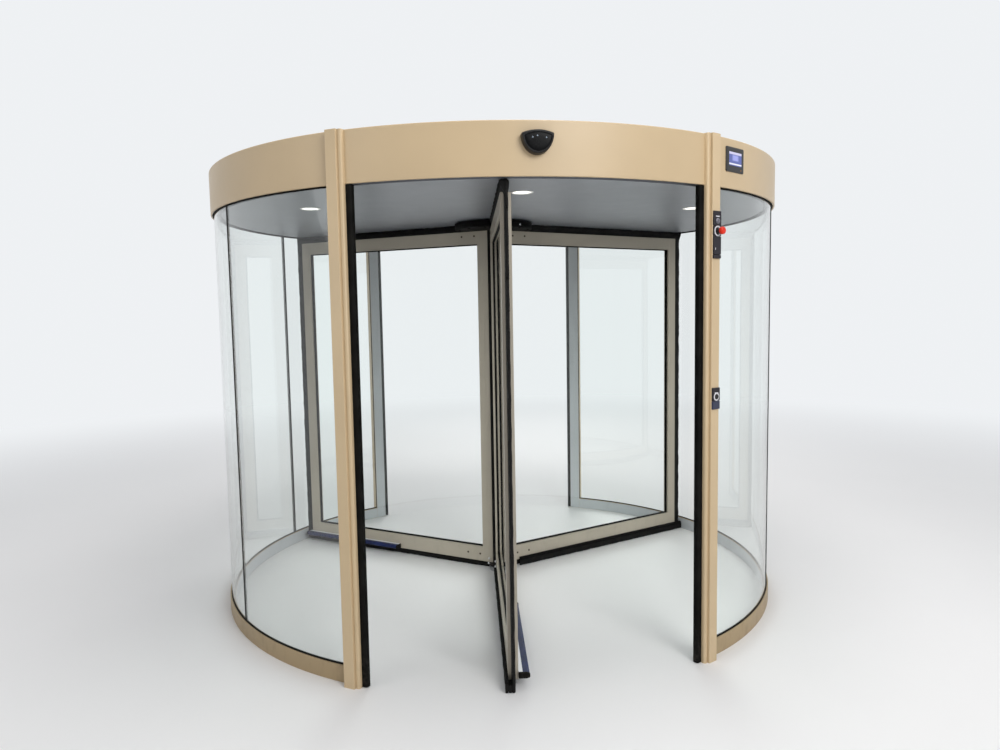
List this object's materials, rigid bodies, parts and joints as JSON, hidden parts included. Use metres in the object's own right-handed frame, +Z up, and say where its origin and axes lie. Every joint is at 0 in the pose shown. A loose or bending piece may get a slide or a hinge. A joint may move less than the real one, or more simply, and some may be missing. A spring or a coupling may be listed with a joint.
{
  "type": "revolving door",
  "caption": "Automatic revolving door: bent glass drum between beige posts, round canopy with drive and ceiling, and a rotor of framed glass wings with brush seals.",
  "frame": {"origin": "where the drum's axis meets the floor", "axes": "+Z up along the rotor's axis, -Y through the middle of the front opening, +Y through the rear opening, glass walls towards -X and +X"},
  "size_m": [3.128, 3.2, 2.314],
  "materials": {
    "beige_enamel": "satin powder coat",
    "kerb_enamel": "satin powder coat",
    "wing_enamel": "satin powder coat",
    "dark_enamel": "matt black",
    "ceiling_grey": "satin",
    "roof_grey": "matt",
    "bent_glass": "clear laminated",
    "wing_glass": "clear toughened",
    "black_rubber": "matt",
    "black_brush": "bristle",
    "bumper_rubber": "satin",
    "black_plastic": "moulded",
    "black_gloss": "display in a black bezel",
    "dark_plate": "moulded",
    "red_plastic": "moulded",
    "downlight_white": "diffuser",
    "bearing_steel": "machined",
    "zinc_steel": "galvanised",
    "drive_cast": "painted housing"
  },
  "bodies": {
    "drum": {"kerb_left": "kerb_enamel", "kerb_right": "kerb_enamel", "glass_left_front": "bent_glass", "glass_left_middle": "bent_glass", "glass_left_rear": "bent_glass", "glass_right_front": "bent_glass", "glass_right_middle": "bent_glass", "glass_right_rear": "bent_glass", "wall_seals": "black_rubber", "post_front_right": "beige_enamel", "post_front_left": "beige_enamel", "post_rear_right": "beige_enamel", "post_rear_left": "beige_enamel", "safety_edges": "black_rubber", "fascia_front": "beige_enamel", "fascia_right": "beige_enamel", "fascia_rear": "beige_enamel", "fascia_left": "beige_enamel", "head_beams": "dark_enamel", "ceiling_panel": "ceiling_grey", "canopy_roof": "roof_grey", "drive_transoms": "zinc_steel", "drive_unit": "drive_cast", "downlights": "downlight_white", "sensor_front": "black_plastic", "sensor_rear": "black_plastic", "control_panel": "black_gloss", "switch_plate_upper": "dark_plate", "switch_plate_lower": "dark_plate", "emergency_button": "red_plastic", "floor_bearing": "bearing_steel"},
    "rotor": {"drive_shaft": "bearing_steel", "hub_disc": "dark_enamel", "column_seal": "black_rubber", "foot_pivot": "bearing_steel", "wing_1_frame": "wing_enamel", "wing_1_glass": "wing_glass", "wing_1_brushes": "black_brush", "wing_1_bumper": "bumper_rubber", "wing_2_frame": "wing_enamel", "wing_2_glass": "wing_glass", "wing_2_brushes": "black_brush", "wing_2_bumper": "bumper_rubber", "wing_3_frame": "wing_enamel", "wing_3_glass": "wing_glass", "wing_3_brushes": "black_brush", "wing_3_bumper": "bumper_rubber", "wing_gaskets": "black_rubber"}
  },
  "joints": [
    {"name": "rotor_spin", "type": "hinge", "parent": "drum", "child": "rotor", "pos_m": [0, 0, 0], "axis": [0, 0, 1], "continuous": true}
  ]
}
